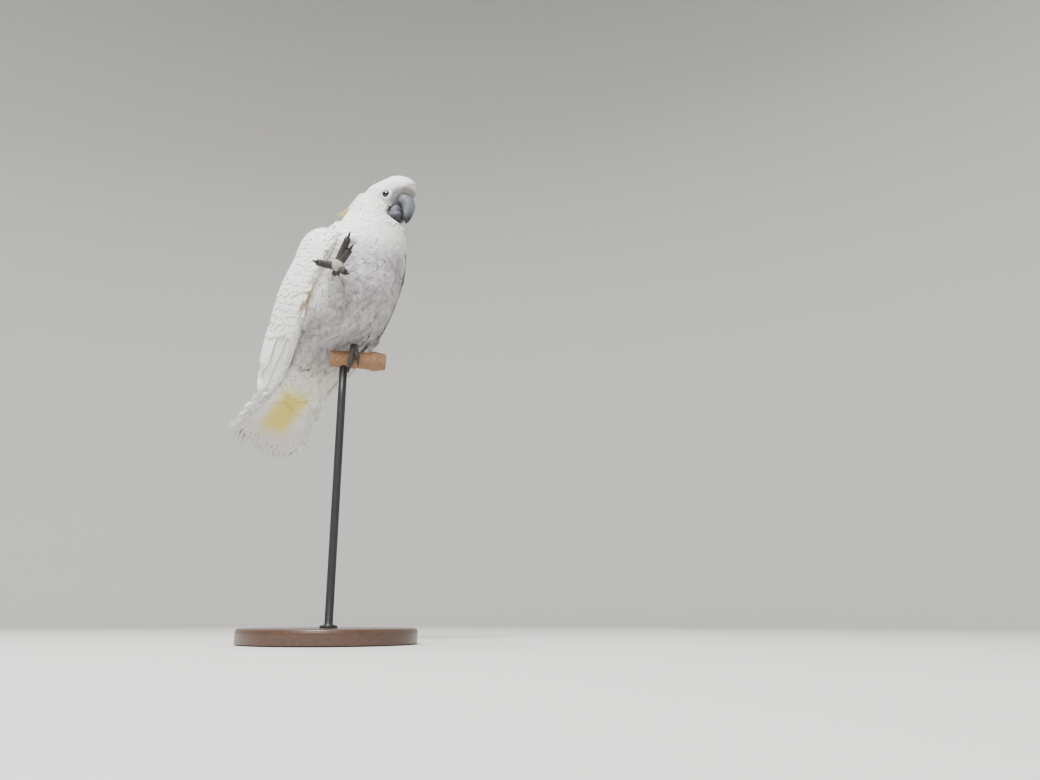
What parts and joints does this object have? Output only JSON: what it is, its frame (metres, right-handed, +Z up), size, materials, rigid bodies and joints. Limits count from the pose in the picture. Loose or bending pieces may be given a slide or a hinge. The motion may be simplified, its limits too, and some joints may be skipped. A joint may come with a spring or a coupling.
{
  "type": "cockatoo",
  "caption": "Still, life-size white cockatoo with a folded yellow crest, perched on a short cut branch with its right foot raised, held up by a round base and a rod.",
  "frame": {"origin": "centre of the underside of the stand's round base", "axes": "+Z up, the bird's body faces -Y, its left side is +X and its right side -X"},
  "size_m": [0.25, 0.3051, 0.7051],
  "materials": {
    "feathers": "soft matt white feathers",
    "crest": "soft matt yellow feathers",
    "bill": "dark grey horn under pale powder",
    "eye": "wet, near black",
    "foot": "dry grey scales",
    "claw": "black horn",
    "branch": "peeled, dry",
    "base": "dark stained, satin",
    "rod": "satin black"
  },
  "bodies": {
    "root": {"head": "feathers", "neck": "feathers", "trunk": "feathers", "tail": "feathers", "wing_left": "feathers", "wing_right": "feathers", "thigh_left": "feathers", "thigh_right": "feathers", "crest": "crest", "bill_upper": "bill", "bill_lower": "bill", "eye_left": "eye", "eye_right": "eye", "foot_left": "foot", "foot_right": "foot", "claw_left_inner_front": "claw", "claw_left_outer_front": "claw", "claw_left_outer_back": "claw", "claw_left_inner_back": "claw", "claw_right_inner_front": "claw", "claw_right_outer_front": "claw", "claw_right_outer_back": "claw", "claw_right_inner_back": "claw", "perch": "branch", "stand_base": "base", "stand_rod": "rod"}
  },
  "joints": []
}
